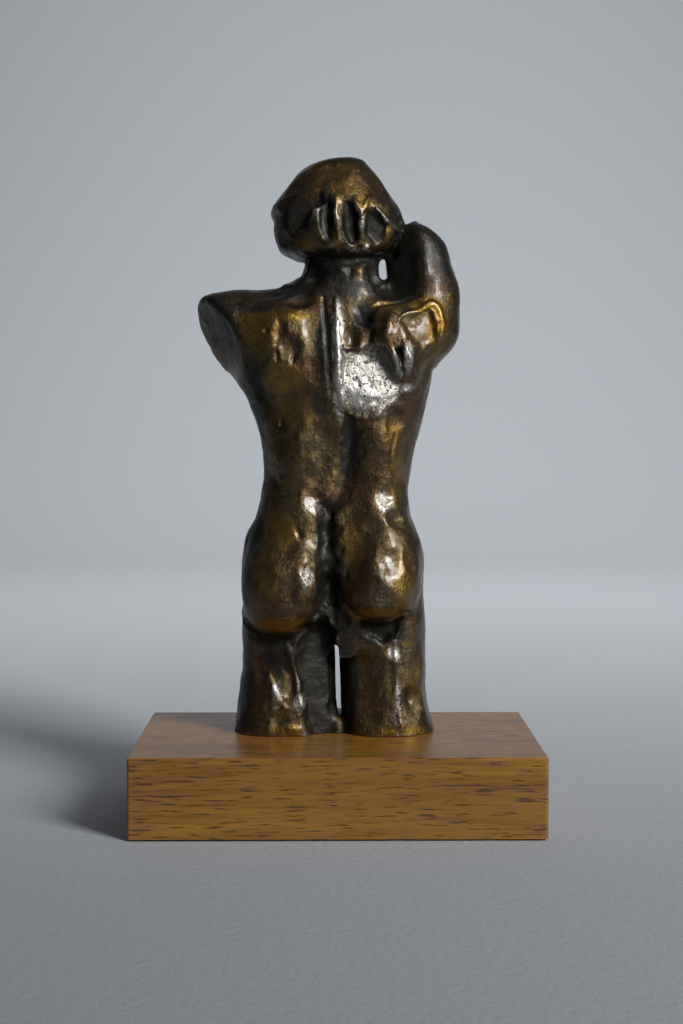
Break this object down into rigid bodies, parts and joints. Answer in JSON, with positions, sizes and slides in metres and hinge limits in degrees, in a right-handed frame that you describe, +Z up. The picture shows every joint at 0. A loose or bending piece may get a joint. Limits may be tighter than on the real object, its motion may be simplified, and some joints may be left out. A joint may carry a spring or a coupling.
{
  "type": "bronze statuette",
  "caption": "Small bronze statuette of a standing nude with cut arms and thighs, held by threaded studs on a rectangular hardwood base with felt beneath.",
  "frame": {"origin": "centre of the underside of the felt, at the middle of the base", "axes": "+Z up, the figure faces -Y and its left side is towards +X; the base's long side runs along X"},
  "size_m": [0.1, 0.06, 0.1663],
  "materials": {
    "bronze": "cast bronze with a glossy dark brown and olive patina, worn golden on the high places",
    "plug_bronze": "machined bronze, unpatinated",
    "wood": "ochre-brown hardwood with open pores, satin varnish",
    "felt": "thin dark green felt",
    "steel": "zinc-plated steel"
  },
  "bodies": {
    "root": {"figure_casting": "bronze", "wooden_base": "wood", "base_felt": "felt", "left_leg_plug": "plug_bronze", "left_stud": "steel", "left_washer": "steel", "left_spring_washer": "steel", "left_nut": "steel", "right_leg_plug": "plug_bronze", "right_stud": "steel", "right_washer": "steel", "right_spring_washer": "steel", "right_nut": "steel"}
  },
  "joints": []
}
